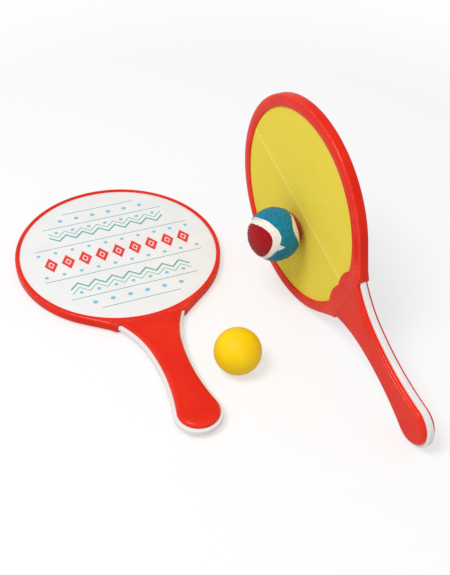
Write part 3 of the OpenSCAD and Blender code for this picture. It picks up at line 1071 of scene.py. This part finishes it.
# %% Yellow plastic finish
def yellow_plastic_finish():
    """Clouded yellow, mixed with a paler one by the scuffs, which are duller."""
    material, shader, place = new_finish("yellow_plastic")
    clouds = noise(place, 0.07, 3)
    grain = noise(place, 1.4, 3)
    scuffs = between(noise(stretched(place, 0.3, 1, 0.6), 0.7, 4), 0.62, 0.75)
    colour = mix(between(clouds, 0.35, 0.65), srgb(248, 204, 1), srgb(253, 213, 4))
    feed(shader, {
        "Base Color": mix(scuffs * 0.12, colour, srgb(250, 226, 110)),
        "Roughness": 0.42 + 0.08 * clouds + 0.12 * scuffs,
        "Normal": bump(grain, 0.03),
        "Specular IOR Level": 0.2})
    return material


YELLOW_PLASTIC = yellow_plastic_finish()
count_nodes(YELLOW_PLASTIC)

# %% The two half shells
BALL_R = 20.0
BALL_WALL = 0.8
WELD_DEEP = 0.05
WELD_HALF = 0.4


def half_ball():
    """Radius along the profile: the ball's, less a dip of bell shape at the weld, then the inner one."""
    lat = np.linspace(math.pi / 2, 0, 48)
    dip = WELD_DEEP * np.exp(-((BALL_R * lat / WELD_HALF) ** 2))
    radius = np.concatenate([BALL_R - dip, np.full(lat.size, BALL_R - BALL_WALL)])
    lat = np.concatenate([lat, lat[::-1]])
    return disc_rings(radius * np.cos(lat), radius * np.sin(lat), 128)


low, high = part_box("play_ball_upper_half")
ball_centre = np.array([(low[0] + high[0]) / 2, (low[1] + high[1]) / 2, low[2]])
upper_half = half_ball()
half_faces = grid_faces(*upper_half.shape[:2], wrap_columns=True)
for half, flip in (("upper", 1), ("lower", -1)):
    name = f"play_ball_{half}_half"
    make_piece(f"{name}_shell", "play_ball", (np.eye(3), ball_centre), upper_half * (1, 1, flip),
               half_faces, YELLOW_PLASTIC, "yellow_plastic", name)

# %% [markdown]
# ## Light, floor and camera
# The photograph is a cut-out on white, lit softly from above and from the left. A bright even sky gives
# most of the light, and one large lamp gives the direction and the soft gloss on the red plastic. The
# floor is plain and pale and takes the shadows. The camera's numbers come from fitting the rims and the
# handles in the photograph, so they aren't round.

# %% Floor
# Half the floor's width, where it starts and ends to fade into the background, and how far it is under
# the set, in metres
FLOOR_HALF = 12.0
FADE_START = 0.45
FADE_END = 1.2
FLOOR_DROP = 0.3 * MM

# The floor's grey, the white that the camera sees in it, and the share of that white by the set
FLOOR_GREY = 0.75
FLOOR_GLOW = 1.2
GLOW_SHARE = 0.5


def floor_finish():
    """A pale floor that takes shadows. The camera also sees a share of plain white in it, as on a light
    table, and that share grows with the distance from the set until the floor is the background."""
    material = bpy.data.materials.new("floor")
    material.use_nodes = True
    tree = material.node_tree
    seen = Shade(tree).node("ShaderNodeLightPath", {}, {}, "Is Camera Ray")
    paper = seen.node("ShaderNodeBsdfDiffuse", {}, {"Color": (FLOOR_GREY, FLOOR_GREY, FLOOR_GREY, 1)})
    glow = seen.node("ShaderNodeEmission", {}, {"Color": (1, 1, 1, 1), "Strength": FLOOR_GLOW})
    place = seen.node("ShaderNodeTexCoord", {}, {}, "Object")
    far = between(length(axis_of(place, "X"), axis_of(place, "Y")), FADE_START, FADE_END)
    share = seen * (GLOW_SHARE + (1 - GLOW_SHARE) * far)
    floor = seen.node("ShaderNodeMixShader", {}, {0: share, 1: paper, 2: glow})
    feed(tree.nodes["Material Output"], {"Surface": floor})
    return material


def make_stage():
    """One large square just below the set, so that it touches nothing."""
    mesh = bpy.data.meshes.new("floor")
    corners = FLOOR_HALF * np.array([(-1, -1, 0), (1, -1, 0), (1, 1, 0), (-1, 1, 0)])
    mesh.from_pydata(corners.tolist(), [], [(0, 1, 2, 3)])
    mesh.materials.append(floor_finish())
    floor = bpy.data.objects.new("floor", mesh)
    floor.location.z = -FLOOR_DROP
    bpy.context.scene.collection.objects.link(floor)


make_stage()
print("floor:", 2 * FLOOR_HALF, "m wide")

# %% Sky and lamp
SKY = 0.55
LAMP_PLACE = (-0.55, -0.5, 1.45)
LAMP_AIM = (0, 0, 0.05)
LAMP_SIZE = 0.6
LAMP_POWER = 15


def make_sky(level):
    """An even sky at that level, which is white to the camera."""
    world = bpy.data.worlds.new("studio")
    bpy.context.scene.world = world
    world.use_nodes = True
    tree = world.node_tree
    seen = Shade(tree).node("ShaderNodeLightPath", {}, {}, "Is Camera Ray")
    feed(tree.nodes["Background"], {"Color": (1, 1, 1, 1), "Strength": level + (1 - level) * seen})


def make_lamp(name, place, aim, size, power):
    """A square soft lamp at a place, turned to what it lights."""
    light = bpy.data.lights.new(name, "AREA")
    light.size = size
    light.energy = power
    lamp = bpy.data.objects.new(name, light)
    lamp.location = place
    lamp.rotation_euler = (Vector(aim) - Vector(place)).to_track_quat("-Z", "Y").to_euler()
    bpy.context.scene.collection.objects.link(lamp)


make_sky(SKY)
make_lamp("key", LAMP_PLACE, LAMP_AIM, LAMP_SIZE, LAMP_POWER)
print("sky at", SKY, "and a lamp of", LAMP_POWER, "W,", LAMP_SIZE, "m wide")

# %% Camera
# The image's larger side and the focal length, both in pixels, and the camera's film in millimetres
IMAGE_H = 575
FOCAL_PX = 920.766
FILM = 36


def make_camera(elevation, azimuth, roll, distance, target):
    """Back from the target by the distance, along a direction from two angles, then rolled about it."""
    e, a, r = (math.radians(x) for x in (elevation, azimuth, roll))
    back = Vector((-math.sin(a) * math.cos(e), -math.cos(a) * math.cos(e), math.sin(e)))
    right = Vector((math.cos(a), -math.sin(a), 0))
    up = back.cross(right)
    rolled_right = right * math.cos(r) + up * math.sin(r)
    rolled_up = up * math.cos(r) - right * math.sin(r)
    data = bpy.data.cameras.new("camera")
    data.sensor_width = FILM
    data.lens = FOCAL_PX * FILM / IMAGE_H
    camera = bpy.data.objects.new("camera", data)
    matrix = Matrix((rolled_right, rolled_up, back)).transposed().to_4x4()
    matrix.translation = (Vector(target) + back * distance) * MM
    camera.matrix_world = matrix
    bpy.context.scene.collection.objects.link(camera)
    bpy.context.scene.camera = camera


make_camera(elevation=42.6898, azimuth=1.1218, roll=3.6018, distance=841.948,
            target=(16.2143, 26.8968, 0))
bpy.context.scene.view_settings.view_transform = "Standard"
print("camera lens:", round(bpy.context.scene.camera.data.lens, 2), "mm")
